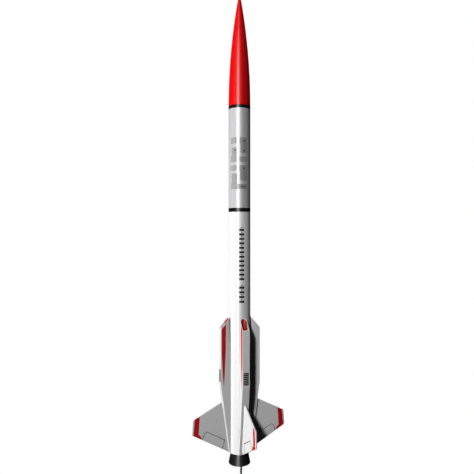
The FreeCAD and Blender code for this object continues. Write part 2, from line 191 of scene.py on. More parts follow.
floor_mesh = bpy.data.meshes.new("floor")
bm = bmesh.new()
bmesh.ops.create_circle(bm, cap_ends=True, radius=FLOOR_R, segments=96)
bmesh.ops.translate(bm, verts=bm.verts, vec=(0, 0, FLOOR_Z))
bm.to_mesh(floor_mesh)
bm.free()
floor = bpy.data.objects.new("floor", floor_mesh)
scene.collection.objects.link(floor)

floor_paint = bpy.data.materials.new("pale_floor")
floor_paint.use_nodes = True
wires = floor_paint.node_tree
surface = wires.nodes["Principled BSDF"]
surface.inputs["Base Color"].default_value = (0.8, 0.8, 0.8, 1)
surface.inputs["Roughness"].default_value = 0.8
surface.inputs["Emission Color"].default_value = (1, 1, 1, 1)
seen = wires.nodes.new("ShaderNodeLightPath")
glow = wires.nodes.new("ShaderNodeMath")
glow.operation = "MULTIPLY"
glow.inputs[1].default_value = FLOOR_GLOW
wires.links.new(seen.outputs["Is Camera Ray"], glow.inputs[0])
wires.links.new(glow.outputs[0], surface.inputs["Emission Strength"])
floor_mesh.materials.append(floor_paint)

# %% [markdown]
# ## Building finishes
# A finish starts from the Principled shader. Real paint and plastic are never one flat value:
# the gloss wanders a little, and the surface has a fine bump. A small builder adds those two
# from noise in the object's own coordinates, so they don't need UVs and stay put from any side.

# %% A builder for node finishes


class Finish:
    """A material under construction, with helpers for the nodes that most finishes share."""

    def __init__(self, name, colour, roughness, **sockets):
        self.material = bpy.data.materials.new(name)
        self.material.use_nodes = True
        self.material.diffuse_color = (*colour, 1)
        self.tree = self.material.node_tree
        self.shader = self.tree.nodes["Principled BSDF"]
        self.shader.inputs["Base Color"].default_value = (*colour, 1)
        self.shader.inputs["Roughness"].default_value = roughness
        for socket, value in sockets.items():
            self.shader.inputs[socket.replace("_", " ")].default_value = value
        self.place = self.tree.nodes.new("ShaderNodeTexCoord").outputs["Object"]

    def node(self, kind, **values):
        made = self.tree.nodes.new(kind)
        for key, value in values.items():
            setattr(made, key, value)
        return made

    def link(self, source, target):
        self.tree.links.new(source, target)

    def stretched(self, scale):
        """Object coordinates, scaled per axis, so a pattern can run along one direction."""
        mapping = self.node("ShaderNodeMapping")
        mapping.inputs["Scale"].default_value = scale
        self.link(self.place, mapping.inputs["Vector"])
        return mapping.outputs[0]

    def noise(self, scale, detail=3.0, roughness=0.5, where=None):
        made = self.node("ShaderNodeTexNoise")
        made.inputs["Scale"].default_value = scale
        made.inputs["Detail"].default_value = detail
        made.inputs["Roughness"].default_value = roughness
        self.link(where or self.place, made.inputs["Vector"])
        return made.outputs["Fac"]

    def span(self, value, low, high, to_low=0.0, to_high=1.0):
        """Map a value's range onto another, clamped."""
        made = self.node("ShaderNodeMapRange")
        ends = {"From Min": low, "From Max": high, "To Min": to_low, "To Max": to_high}
        for socket, number in ends.items():
            made.inputs[socket].default_value = number
        self.link(value, made.inputs["Value"])
        return made.outputs["Result"]

    def sum(self, kind, a, b=0.0):
        """One step of arithmetic on sockets or numbers."""
        made = self.node("ShaderNodeMath", operation=kind)
        for socket, value in zip(made.inputs, (a, b)):
            if isinstance(value, (int, float)):
                socket.default_value = value
            else:
                self.link(value, socket)
        return made.outputs[0]

    def tint(self, factor, colour_a, colour_b):
        """A colour between two, by a factor; each is a tuple or a socket."""
        made = self.node("ShaderNodeMix", data_type="RGBA")
        self.link(factor, made.inputs["Factor"])
        for socket, value in zip((made.inputs[6], made.inputs[7]), (colour_a, colour_b)):
            if isinstance(value, tuple):
                socket.default_value = (*value, 1)
            else:
                self.link(value, socket)
        return made.outputs[2]

    def axes(self):
        """The x, y and z of a point on the object."""
        split = self.node("ShaderNodeSeparateXYZ")
        self.link(self.place, split.inputs[0])
        return split.outputs

    def colour(self, socket):
        self.link(socket, self.shader.inputs["Base Color"])

    def rough(self, socket):
        self.link(socket, self.shader.inputs["Roughness"])

    def bump(self, height, distance, strength=1.0):
        made = self.node("ShaderNodeBump")
        made.inputs["Distance"].default_value = distance
        made.inputs["Strength"].default_value = strength
        self.link(height, made.inputs["Height"])
        previous = self.shader.inputs["Normal"]
        if previous.is_linked:
            self.link(previous.links[0].from_socket, made.inputs["Normal"])
        self.link(made.outputs[0], previous)


def wear(*names):
    """Give CAD nodes a finish: wear(names..., finish) puts it in every slot of each node."""
    *targets, finish = names
    for name in targets:
        slots = nodes[name].data.materials
        if not slots:
            slots.append(finish.material)
        for i in range(len(slots)):
            slots[i] = finish.material


# %% [markdown]
# ## Sprayed paint
# The tubes are spiral-wound paper and the pods and fins are sheet, all sprayed gloss. Sprayed
# paint shows soft ripples called orange peel, and on a tube the paper's spiral seam stays just
# visible. The seam is a groove where angle and height together pass a whole turn.

# %% White, silver and red paint
PEEL_SCALE = 900.0
SEAM_PITCH = 0.085
SEAM_SHARE = 0.010


def sprayed(name, colour, roughness, seam=False, **sockets):
    paint = Finish(name, colour, roughness, **sockets)
    drift = paint.noise(18.0, 4.0)
    low, high = (tuple(c * k for c in colour) for k in (0.98, 1.0))
    shade = paint.tint(paint.span(drift, 0.35, 0.65), low, high)
    paint.colour(shade)
    paint.rough(paint.span(paint.noise(140.0, 5.0), 0.3, 0.7, roughness - 0.04, roughness + 0.05))
    paint.bump(paint.noise(PEEL_SCALE, 2.0), 0.00001, 0.5)
    if seam:
        x, y, z = paint.axes()
        turn = paint.sum("DIVIDE", paint.sum("ARCTAN2", y, x), math.tau)
        run = paint.sum("FRACT", paint.sum("ADD", turn, paint.sum("DIVIDE", z, SEAM_PITCH)))
        groove = paint.span(paint.sum("ABSOLUTE", paint.sum("SUBTRACT", run, 0.5)), 0.0, SEAM_SHARE)
        paint.bump(groove, 0.00006, 0.35)
    return paint


WHITE = (0.86, 0.86, 0.86)
SILVER = (0.62, 0.62, 0.63)
white_tube = sprayed("white_tube_paint", WHITE, 0.30, seam=True)
white_sheet = sprayed("white_sheet_paint", WHITE, 0.32)
silver_tube = sprayed("silver_tube_paint", SILVER, 0.40, seam=True, Metallic=0.2)
red_paint = sprayed("red_intake_paint", (0.60, 0.002, 0.005), 0.50)

wear("lower_body_tube", "lower_launch_lug", white_tube)
wear("upper_body_tube", "upper_launch_lug", silver_tube)
for side in ("right", "back", "left", "front"):
    wear(f"pod_channel_{side}", f"pod_cover_{side}", f"fin_{side}", white_sheet)
    wear(f"intake_liner_{side}", red_paint)

# %% [markdown]
# ## Moulded plastic
# The nose cone and nozzle shroud are blown and moulded plastic: a clean colour under a smooth
# skin, sharper in reflection than paint. The two halves of the nose's mould leave a fine parting
# line, a ridge too low to model, so it is a bump. The shroud is nearly black, so only its
# reflection shows its shape.

# %% Red and black plastic
PARTING_HALF = 0.00025  # half the parting line's width
PARTING_RISE = 0.00006


def moulded(name, colour, roughness, parting_line=False):
    plastic = Finish(name, colour, roughness, IOR=1.5)
    if parting_line:
        x, y, z = plastic.axes()
        off_line = plastic.sum("ABSOLUTE", plastic.sum("SUBTRACT", x, y))
        plastic.bump(plastic.span(off_line, PARTING_HALF, 0.0), PARTING_RISE)
    flow = plastic.noise(60.0, 4.0)
    plastic.rough(plastic.span(flow, 0.3, 0.7, roughness - 0.03, roughness + 0.04))
    plastic.bump(plastic.noise(160.0, 2.0), 0.00001, 0.25)
    streak = plastic.noise(9.0, 3.0, where=plastic.stretched((1, 1, 0.2)))
    deep = tuple(c * 0.93 for c in colour)
    plastic.colour(plastic.tint(plastic.span(streak, 0.3, 0.7), deep, colour))
    return plastic


red_plastic = moulded("red_nose_plastic", (0.76, 0.002, 0.003), 0.32, parting_line=True)
black_plastic = moulded("black_nozzle_plastic", (0.010, 0.010, 0.011), 0.38)
black_vinyl = moulded("black_band_vinyl", (0.006, 0.006, 0.007), 0.30)
wear("nose_cone", "nose_plug", red_plastic)
wear("nozzle_shroud", black_plastic)
wear("joint_band", "nose_end_band", black_vinyl)

# %% [markdown]
# ## Following a route
# Cords lie on smooth curves, not on corners. Each route is a short list of control points, and
# a NURBS spline of order 3 turns them into one line without kinks. The points that the spline
# passes through are read back, with a direction and two cross directions at each, so that
# threads and flat bands can be wound round the line.

# %% Read points and directions along a spline


def along_route(corners, per_corner=8):
    """Points along the NURBS spline that has these control points."""
    curve = bpy.data.curves.new("route", "CURVE")
    curve.dimensions = "3D"
    curve.resolution_u = per_corner
    spline = curve.splines.new("NURBS")
    spline.points.add(len(corners) - 1)
    for point, corner in zip(spline.points, corners):
        point.co = (*corner, 1)
    spline.order_u = 3
    spline.use_endpoint_u = True
    guide = bpy.data.objects.new("route", curve)
    mesh = bpy.data.meshes.new_from_object(guide)
    line = [vertex.co.copy() for vertex in mesh.vertices]
    bpy.data.meshes.remove(mesh)
    bpy.data.objects.remove(guide)
    bpy.data.curves.remove(curve)
    return line


def headings(line):
    """The direction of travel at each point of a line."""
    last = len(line) - 1
    return [(line[min(i + 1, last)] - line[max(i - 1, 0)]).normalized() for i in range(len(line))]


def length_of(line):
    return sum((b - a).length for a, b in zip(line, line[1:]))


def cross_directions(line, hint):
    """Two directions across the line at each point, carried along it without twisting."""
    pairs = []
    for way in headings(line):
        across = (hint - way * hint.dot(way)).normalized()
        pairs.append((across, way.cross(across)))
        hint = across
    return pairs


def new_piece(name, mesh_data, finish, smooth=True):
    piece = bpy.data.objects.new(name, mesh_data)
    scene.collection.objects.link(piece)
    mesh_data.materials.append(finish.material)
    for face in mesh_data.polygons:
        face.use_smooth = smooth
    return piece


def skin_rings(bm, rings, closed_ring=True):
    """Join rows of points into a capped tube, or into an open sheet."""
    rows = [[bm.verts.new(point) for point in ring] for ring in rings]
    count = len(rows[0])
    for low, high in zip(rows, rows[1:]):
        for i in range(count if closed_ring else count - 1):
            j = (i + 1) % count
            bm.faces.new((low[i], low[j], high[j], high[i]))
    if closed_ring:
        bm.faces.new(rows[0][::-1])
        bm.faces.new(rows[-1])


def mesh_from(name, bm):
    bmesh.ops.recalc_face_normals(bm, faces=bm.faces)
    data = bpy.data.meshes.new(name)
    bm.to_mesh(data)
    bm.free()
    return data


# %% [markdown]
# ## The starter's twisted leads
# The engine is lit by a starter in its nozzle, held by a small plug. Two insulated wires leave the
# plug and are twisted together, and their last few millimetres are stripped for the clips. They
# could be one thick curve, but a twisted pair catches light on every turn, so each wire is its own
# tube, wound round the shared route.

# %% Wind two wires round one route
LEADS_ROUTE = [
    Vector(point) * MM
    for point in (
        (0, 0, 5), (0, 0, -1.5), (3.2, -0.8, -8), (2.0, -0.2, -15.5),
        (3.4, 0.4, -24), (1.2, 0.2, -34), (2.2, -0.6, -44), (0.9, -0.2, -53),
    )
]
WIRE_R = 0.00098
LEADS_TWIST = 0.0085
BARE_END = (0.0055, 0.00035)  # the stripped end's length and wire radius
INSULATION = (0.012, 0.012, 0.013)
TINNED = (0.74, 0.66, 0.58)


def wound_strands(line, count, strand_r, round_r, twist, sides=8, bare=(0.0, 0.0)):
    """Tubes wound together round a line; bare gives the far end's thin length and radius."""
    bm = bmesh.new()
    insulated = length_of(line) - bare[0]
    pairs = cross_directions(line, Vector((1, 0, 0)))
    for strand in range(count):
        travelled, rings = 0.0, []
        for i, point in enumerate(line):
            if i:
                travelled += (point - line[i - 1]).length
            turn = math.tau * (strand / count + travelled / twist)
            u, v = pairs[i]
            middle = point + round_r * (math.cos(turn) * u + math.sin(turn) * v)
            reach = strand_r if travelled <= insulated else bare[1]
            turns = [math.tau * k / sides for k in range(sides)]
            rings.append([middle + reach * (math.cos(t) * u + math.sin(t) * v) for t in turns])
        skin_rings(bm, rings)
    return bm


leads_line = along_route(LEADS_ROUTE, 20)
lead_wire = Finish("lead_wire_insulation", INSULATION, 0.55)
strip_z = leads_line[-1].z + BARE_END[0]
stripped = lead_wire.span(lead_wire.axes()[2], strip_z + 0.0001, strip_z - 0.0001)
lead_wire.colour(lead_wire.tint(stripped, INSULATION, TINNED))
lead_wire.link(stripped, lead_wire.shader.inputs["Metallic"])
grain = lead_wire.span(lead_wire.noise(700.0), 0.3, 0.7, 0.5, 0.65)
lead_wire.rough(lead_wire.sum("SUBTRACT", grain, lead_wire.sum("MULTIPLY", stripped, 0.25)))
lead_wire.bump(lead_wire.noise(2600.0), 0.00003, 0.4)
wound = wound_strands(leads_line, 2, WIRE_R, WIRE_R, LEADS_TWIST, bare=BARE_END)
leads = new_piece("twisted_starter_leads", mesh_from("twisted_starter_leads", wound), lead_wire)
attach(leads, "starter")
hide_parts("starter_leads")
print(f"leads: {length_of(leads_line) / MM:.1f} mm along {len(leads_line)} points")

# %% [markdown]
# ## The elastic shock cord
# A flat elastic band ties the nose cone to the tube, so the two parts come down together. It is
# stowed in a loose coil above its paper mount, then runs up the wall beside the parachute and is
# tied to the swivel. A band must not flip over, so its width is always taken across the direction
# of travel and the direction away from the wall. It crosses the nose joint.

# %% Lay the flat band in its coil
BAND_WIDTH = 0.0032
BAND_THICK = 0.0009
COIL_R = 0.0125
COIL_TURNS = 4.5
COIL_PITCH = 0.0035
COIL_POINTS = 12
coil_low = span_of("shock_cord_coil")[0]
lead_low, lead_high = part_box("shock_cord_lead")
lead_x = lead_high[0] - BAND_THICK / 2
lead_top = lead_high[2] - BAND_THICK / 2
mount_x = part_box("shock_cord_mount")[0][0] + 0.0007
mount_top = span_of("shock_cord_mount")[1]

band_route = [Vector((mount_x, 0, mount_top - 0.008)), Vector((mount_x, 0, mount_top - 0.001))]
steps = int(COIL_TURNS * COIL_POINTS)
for i in range(1, steps):
    turn = math.pi + math.tau * i / COIL_POINTS
    loose = 0.0005 * noise.noise(Vector((i * 0.37, 4.2, 1.7)))
    reach = COIL_R / math.cos(math.pi / COIL_POINTS) + loose
    height = coil_low + 0.0023 + COIL_PITCH * i / COIL_POINTS
    band_route.append(Vector((reach * math.cos(turn), reach * math.sin(turn), height)))
top = band_route[-1].z
band_route += [
    Vector((0.0143, -0.0008, top + 0.0022)), Vector((lead_x, 0, top + 0.009)),
    Vector((lead_x, 0, top + 0.045)), Vector((lead_x, 0, top + 0.085)),
    Vector((lead_x, 0, lead_top - 0.0045)), Vector((lead_x - 0.0045, 0, lead_top)),
    Vector((0.0045, 0, lead_top)), Vector((lead_low[0] + 0.0002, 0, lead_top)),
]
band_line = along_route(band_route, 6)
print(f"shock cord: {length_of(band_line) / MM:.0f} mm, {COIL_TURNS} turns")

# %% Skin the band


def flat_band(line, width, thick, outward):
    """A flat band along a line; outward(point, way) is the way that its flat side faces."""
    bm = bmesh.new()
    rings = []
    for point, way in zip(line, headings(line)):
        face = outward(point, way)
        face = (face - way * face.dot(way)).normalized()
        side = way.cross(face)
        ring = []
        for k in range(12):
            turn = math.tau * k / 12
            c, s = math.cos(turn), math.sin(turn)
            flat = math.copysign(abs(c) ** 0.35, c)
            ring.append(point + side * (width / 2 * flat) + face * (thick / 2 * s))
        rings.append(ring)
    skin_rings(bm, rings)
    return bm


def away_from_axis(point, way):
    radial = Vector((point.x, point.y, 0))
    over_the_top = min(1.0, max(0.0, (point.z - lead_top + 0.0075) / 0.007))
    return radial.normalized() * (1 - over_the_top) + Vector((0.02, 0, 1)) * over_the_top


elastic = Finish("braided_elastic", (0.74, 0.73, 0.70), 0.78, Sheen_Weight=0.3)
ribs = elastic.noise(3400.0, 1.0, where=elastic.stretched((1, 1, 0.4)))
ribbed = elastic.span(ribs, 0.35, 0.65)
elastic.colour(elastic.tint(ribbed, (0.58, 0.57, 0.54), (0.80, 0.79, 0.77)))
elastic.bump(ribs, 0.0001, 0.7)
band = new_piece(
    "elastic_shock_cord",
    mesh_from("elastic_shock_cord", flat_band(band_line, BAND_WIDTH, BAND_THICK, away_from_axis)),
    elastic,
)
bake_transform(band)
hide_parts("shock_cord_coil", "shock_cord_lead")

# %% [markdown]
# ## The parachute's shroud lines
# Six thin lines run from the canopy's corners to the swivel. For launch they are wound round the
# rolled canopy in a bundle. Six single cords would be hard to keep apart, so they are six threads
# wound on one route: a few turns round the roll, then up to the swivel's eye.

# %% Wind six threads round the roll
THREAD_R = 0.0002
BUNDLE_R = 0.0004
BUNDLE_TWIST = 0.011
WRAP_R = 0.01335
WRAP_TURNS = 4.5
WRAP_PITCH = 0.0030
WRAP_POINTS = 12
wrap_low = span_of("shroud_line_wrap")[0]

lines_route = []
for i in range(int(WRAP_TURNS * WRAP_POINTS) + 1):
    turn = math.tau * i / WRAP_POINTS
    reach = WRAP_R / math.cos(math.pi / WRAP_POINTS)
    height = wrap_low + 0.0009 + WRAP_PITCH * i / WRAP_POINTS
    lines_route.append(Vector((reach * math.cos(turn), reach * math.sin(turn), height)))
lines_route += [
    Vector(point) * MM
    for point in ((-13.45, -1.2, 458), (-13.45, 0, 470), (-6.725, 0, 484), (-0.6, 0, 498.3))
]
lines_line = along_route(lines_route, 6)
line_thread = Finish("white_line_thread", (0.78, 0.77, 0.74), 0.7, Sheen_Weight=0.2)
fuzz = line_thread.noise(5200.0, 2.0)
line_thread.colour(line_thread.tint(fuzz, (0.62, 0.61, 0.58), (0.86, 0.85, 0.83)))
line_thread.bump(fuzz, 0.00005, 0.8)
wound = wound_strands(lines_line, 6, THREAD_R, BUNDLE_R, BUNDLE_TWIST, sides=6)
lines = new_piece("shroud_lines", mesh_from("shroud_lines", wound), line_thread)
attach(lines, "nose")
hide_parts("shroud_line_wrap", "shroud_line_bridle")
print(f"shroud lines: {length_of(lines_line) / MM:.0f} mm in {WRAP_TURNS} turns")

# %% [markdown]
# ## The rolled parachute
# The canopy is one thin film, a hexagon of 380 mm across the flats, folded and rolled into a
# bundle that fills the tube. A solid roll would show no layers at its end, so the film is a real
# sheet: it winds outward in a spiral, layer on layer, with a soft crumple that all layers share
# so that they never cut through each other. Its red and white panels come from the angle.

# %% Roll the film
CANOPY_ACROSS = 0.381
CANOPY_AREA = CANOPY_ACROSS**2 * math.sqrt(3) / 2
ROLL_CORE = 0.0023
ROLL_STEPS = 40  # round each turn
ROLL_ROWS = 18  # from the roll's bottom to its top
ROLL_PLAY = 0.0004
DENT, CREASE = 0.045, 0.02  # as shares of the roll's radius
CRUMPLE_LEVEL = 0.6  # keeps the crumple on the inner side of the roll's surface
PINCH = 0.05  # how much the roll narrows at its two ends
EDGE_WANDER = 0.0012
END_GAP = 0.0014
roll_low, roll_high = span_of("parachute")
roll_r = radius_of("parachute") - ROLL_PLAY
roll_tall = roll_high - roll_low
turns = CANOPY_AREA / (roll_tall * math.pi * (roll_r + ROLL_CORE))
layer_gap = (roll_r - ROLL_CORE) / turns


def crumpled(heading, share):
    """How far the roll's surface is pushed in at a direction and a share of its height."""
    dent = noise.noise(heading * 2.1 + Vector((0, 0, share * 3.0)))
    crease = noise.noise(heading * 5.3 + Vector((7, 0, share * 9.0)))
    soft = 1 + DENT * (dent - CRUMPLE_LEVEL) + CREASE * (crease - CRUMPLE_LEVEL)
    return soft * (1 - PINCH * (1 - max(0.0, math.sin(math.pi * share)) ** 0.4))


canopy_rings = []
for i in range(int(turns * ROLL_STEPS) + 1):
    turn = math.tau * i / ROLL_STEPS
    reach = ROLL_CORE + layer_gap * i / ROLL_STEPS
    heading = Vector((math.cos(turn), math.sin(turn), 0))
    ring = []
    for k in range(ROLL_ROWS + 1):
        share = k / ROLL_ROWS
        wander = EDGE_WANDER * noise.noise(Vector((turn * 0.8, 2.0, share)))
        height = roll_low + END_GAP + (roll_tall - 2 * END_GAP) * share
        height += wander * abs(2 * share - 1)
        ring.append(heading * (reach * crumpled(heading, share)) + Vector((0, 0, height)))
    canopy_rings.append(ring)
canopy_bm = bmesh.new()
skin_rings(canopy_bm, canopy_rings, closed_ring=False)
print(f"canopy: {turns:.1f} turns, {layer_gap / MM:.2f} mm apart")

# %% Its film, in red and white panels
PANEL_PAIRS = 3.0
PANEL_RED, PANEL_WHITE = (0.62, 0.02, 0.02), (0.82, 0.82, 0.82)
canopy_film = Finish("canopy_film", (0.75, 0.75, 0.75), 0.22, Specular_IOR_Level=0.6)
x, y, z = canopy_film.axes()
panel_turn = canopy_film.sum("DIVIDE", canopy_film.sum("ARCTAN2", y, x), math.tau)
panel = canopy_film.sum("MULTIPLY", panel_turn, PANEL_PAIRS)
panel = canopy_film.sum("FRACT", canopy_film.sum("ADD", panel, 10.0))
canopy_film.colour(canopy_film.tint(canopy_film.span(panel, 0.49, 0.51), PANEL_RED, PANEL_WHITE))
wrinkle = canopy_film.noise(160.0, 4.0, where=canopy_film.stretched((1, 1, 0.35)))
canopy_film.bump(wrinkle, 0.0006, 0.6)
canopy_film.rough(canopy_film.span(canopy_film.noise(60.0), 0.3, 0.7, 0.16, 0.30))
canopy = new_piece("rolled_parachute", mesh_from("rolled_parachute", canopy_bm), canopy_film)
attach(canopy, "nose")
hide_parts("parachute")

# %% [markdown]
# ## Recovery wadding
# Crumpled squares of flame-proof tissue fill the tube below the parachute and shield it from the
# ejection charge. A crumpled ball is hard to fold by hand, so a dense closed form is pushed in
# and out by two sizes of noise with sharp ridges, and squeezed inside the tube.

# %% Crumple the tissue
WAD_ROWS, WAD_SIDES = 70, 96
WAD_PLAY = 0.0002
WAD_DEPTH = 0.10  # the folds' depth, as a share of the radius
WAD_DIP = 0.0022  # how far the two ends are pushed in
wad_low, wad_high = span_of("wadding")
wad_r = radius_of("wadding") - WAD_PLAY
wad_rings = []


def ridged(point):
    """Noise with sharp ridges, from -1 in the folds to 1 on the ridges."""
    return 1 - 2 * abs(noise.noise(point))


for k in range(1, WAD_ROWS):
    share = k / WAD_ROWS
    angle = math.pi * share
    plump = math.sin(angle) ** 0.28
    rise = math.copysign(abs(math.cos(angle)) ** 0.8, math.cos(angle))
    height = wad_low + (wad_high - wad_low) * (0.5 - 0.5 * rise)
    ring = []
    for i in range(WAD_SIDES):
        turn = math.tau * i / WAD_SIDES
        spot = Vector((math.cos(turn) * plump, math.sin(turn) * plump, height / wad_r))
        fold = 0.65 * ridged(spot * 1.5) + 0.35 * ridged(spot * 3.7 + Vector((3, 1, 2)))
        reach = wad_r * plump * (1 - WAD_DEPTH + WAD_DEPTH * fold)
        dip = WAD_DIP * (1 - fold) * (1 if share < 0.5 else -1) * (1 - plump * 0.8)
        ring.append((reach * math.cos(turn), reach * math.sin(turn), height + dip))
    wad_rings.append(ring)
wad_bm = bmesh.new()
skin_rings(wad_bm, wad_rings)
tissue = Finish("wadding_tissue", (0.70, 0.72, 0.74), 0.9, Sheen_Weight=0.35)
cloudy = tissue.span(tissue.noise(240.0, 5.0), 0.3, 0.7)
tissue.colour(tissue.tint(cloudy, (0.58, 0.61, 0.64), (0.80, 0.82, 0.84)))
tissue.bump(tissue.noise(420.0, 6.0, 0.65), 0.0008, 0.8)
wad = new_piece("crumpled_wadding", mesh_from("crumpled_wadding", wad_bm), tissue, smooth=False)
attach(wad, "airframe")
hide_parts("wadding")

# %% [markdown]
# ## Printed markings
# The markings on such a kit are water-slide transfers: printed film a few hundredths of a
# millimetre thick. They could be drawn in the paint's material, but a mask in the shader is soft
# and hard to place. Cut film has crisp edges, so each marking is an outline, cut into narrow
# strips where it must wrap a tube, given thickness, and laid on the surface.

# %% Cut film from flat outlines
FILM_THICK = 0.00005
FILM_LIFT = 0.00003  # above the surface, so that the two never share a face
FILM_STEP = 0.0015  # a film is cut into strips this wide, to bend with the surface


def film(name, outlines, place, finish):
    """Outlines in (u, v), in metres, laid by place(u, v, height above the surface)."""
    bm = bmesh.new()
    for outline in outlines:
        bm.faces.new([bm.verts.new((u, v, 0)) for u, v in outline])
    across = [vertex.co.x for vertex in bm.verts]
    first_cut = math.ceil(min(across) / FILM_STEP)
    last_cut = math.floor(max(across) / FILM_STEP)
    for k in range(first_cut, last_cut + 1):
        parts = bm.verts[:] + bm.edges[:] + bm.faces[:]
        cut_at = (k * FILM_STEP, 0, 0)
        bmesh.ops.bisect_plane(bm, geom=parts, plane_co=cut_at, plane_no=(1, 0, 0))
    lifted = bmesh.ops.extrude_face_region(bm, geom=bm.faces[:], use_keep_orig=True)["geom"]
    for vertex in lifted:
        if isinstance(vertex, bmesh.types.BMVert):
            vertex.co.z = FILM_THICK
    for vertex in bm.verts:
        vertex.co = place(vertex.co.x, vertex.co.y, FILM_LIFT + vertex.co.z)
    piece = new_piece(name, mesh_from(name, bm), finish, smooth=False)
    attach(piece, "airframe")


def printed(name, colour, roughness=0.34):
    ink = Finish(name, colour, roughness, Coat_Weight=0.3, Coat_Roughness=0.15)
    mottle = ink.noise(420.0, 4.0)
    faint = tuple(min(1.0, c * 1.12 + 0.004) for c in colour)
    ink.colour(ink.tint(ink.span(mottle, 0.35, 0.65), colour, faint))
    ink.rough(ink.span(ink.noise(90.0), 0.3, 0.7, roughness - 0.04, roughness + 0.06))
    ink.bump(ink.noise(PEEL_SCALE, 2.0), 0.00002, 0.4)
    return ink


red_film = printed("red_marking_film", (0.66, 0.002, 0.006))
grey_film = printed("grey_marking_film", (0.33, 0.32, 0.325))
black_film = printed("black_marking_film", (0.012, 0.012, 0.013))

# %% [markdown]
# ## Panel blocks on the silver tube
# The silver section carries rows of grey blocks with black dots, like access panels. A block is
# placed by its angle from the front and its height, and the film then wraps to the tube.

# %% Blocks, dots and the upright scale
FRONT = VIEW_AZIMUTH  # the side of the tube that carries the markings


def on_tube(u, v, lift):
    turn = FRONT + u / tube_r
    return Vector(((tube_r + lift) * math.sin(turn), -(tube_r + lift) * math.cos(turn), v))


def tube_outline(points):
    """Outline points given as degrees from the front and millimetres of height."""
    return [(math.radians(angle) * tube_r, height * MM) for angle, height in points]


def tube_block(left, right, low, high):
    return tube_outline([(left, low), (right, low), (right, high), (left, high)])


def dot(angle, height, radius, points=20):
    middle_u, middle_v = math.radians(angle) * tube_r, height * MM
    turns = [math.tau * k / points for k in range(points)]
    return [(middle_u + radius * math.cos(t), middle_v + radius * math.sin(t)) for t in turns]


BLOCKS = [
    tube_block(-51, -15, 497.8, 507.2),
    tube_outline([
        (-51, 469.0), (-15, 469.0), (-15, 491.9), (-45, 491.9), (-45, 479.6), (-51, 477.2),
    ]),
    tube_outline([(5, 483.0), (41, 483.0), (41, 507.2), (1, 507.2), (1, 499.0), (5, 496.6)]),
    tube_block(0, 41, 469.0, 477.8),
    tube_block(-51, -15, 455.5, 464.2),
    tube_outline([
        (-49, 427.2), (41, 427.2), (41, 435.4), (-11, 435.4), (-11, 450.0), (-15, 450.0),
        (-15, 451.6), (-45, 451.6), (-45, 437.4), (-49, 435.4),
    ]),
    tube_outline([(3, 440.6), (41, 440.6), (41, 464.2), (0, 464.2), (0, 456.4), (3, 454.6)]),
]
DOT_R = 0.00125
DOTS = [(-24, 487.4), (25, 501.8), (25, 486.8), (25, 459.2), (13, 431.2), (28, 431.0)]

film("panel_blocks", BLOCKS, on_tube, grey_film)
film(
    "panel_dots", [dot(angle, height, DOT_R) for angle, height in DOTS],
    lambda u, v, lift: on_tube(u, v, lift + FILM_THICK + FILM_LIFT), black_film,
)

# A long bar fills the first half of each pitch, and a short one stands between two long ones.
SCALE_LEFT, SCALE_RIGHT = -2, 25
SHORTER = 9
SCALE_GROUPS = ((287.0, 369.5), (252.0, 281.0))
BAR_PITCH = 6.9
bars = []
for low, high in SCALE_GROUPS:
    count = round((high - low) / BAR_PITCH)
    pitch = (high - low) / count
    for k in range(count):
        base = low + k * pitch
        middle = base + 0.66 * pitch, base + 0.84 * pitch
        bars.append(tube_block(SCALE_LEFT, SCALE_RIGHT, base, base + 0.50 * pitch))
        bars.append(tube_block(SCALE_LEFT + SHORTER, SCALE_RIGHT - SHORTER, *middle))
film("upright_scale", bars, on_tube, black_film)
print(f"markings: {len(BLOCKS)} blocks, {len(DOTS)} dots, {len(bars)} bars")

# %% [markdown]
# ## Stripes, grilles and flap lines
# The same film is cut for the pods and fins: a red stripe that narrows down a pod's side, a black
# grille on its outer face, and on each side of a fin a red tip stripe and the thin outline of a
# control flap. Each is drawn once for the pod on +X, then turned to the other three.

# %% Places on a pod's side, its face and a fin
QUARTERS = {"right": 0, "back": 1, "left": 2, "front": 3}
fin_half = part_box("fin_right")[1][1]


def turned(point, quarter):
    return Matrix.Rotation(quarter * math.pi / 2, 3, "Z") @ Vector(point)


def on_flank(quarter, side, half):
    """The flat side of a pod or fin: u is the distance from the axis, v the height."""
    return lambda u, v, lift: turned((u, side * (half + lift), v), quarter)


def on_pod_face(quarter):
    return lambda u, v, lift: turned((pod_face_r + lift, u, v), quarter)


def in_mm(points):
    return [(u * MM, v * MM) for u, v in points]


def thin_line(points, width):
    """Narrow rectangles along a run of points, mitred where they meet."""
    spots = [Vector(point) for point in points]
    sides = []
    for i, spot in enumerate(spots):
        before = (spot - spots[i - 1]).normalized() if i else (spots[1] - spot).normalized()
        after = (spots[i + 1] - spot).normalized() if i + 1 < len(spots) else before
        across = Vector((-(before + after).y, (before + after).x)).normalized()
        across *= width / 2 / max(0.3, across.dot(Vector((-before.y, before.x))))
        sides.append(across)
    left = [tuple(spot + side) for spot, side in zip(spots, sides)]
    right = [tuple(spot - side) for spot, side in zip(spots, sides)]
    return left + right[::-1]


# %% Lay them on all four pods and fins
POD_STRIPE = in_mm([
    (30.6, 211.2), (23.9, 219.0), (24.3, 180.0), (24.8, 165.0), (26.0, 141.0),
    (26.9, 124.0), (27.6, 124.0), (29.0, 141.0), (30.2, 165.0), (30.5, 180.0),
])
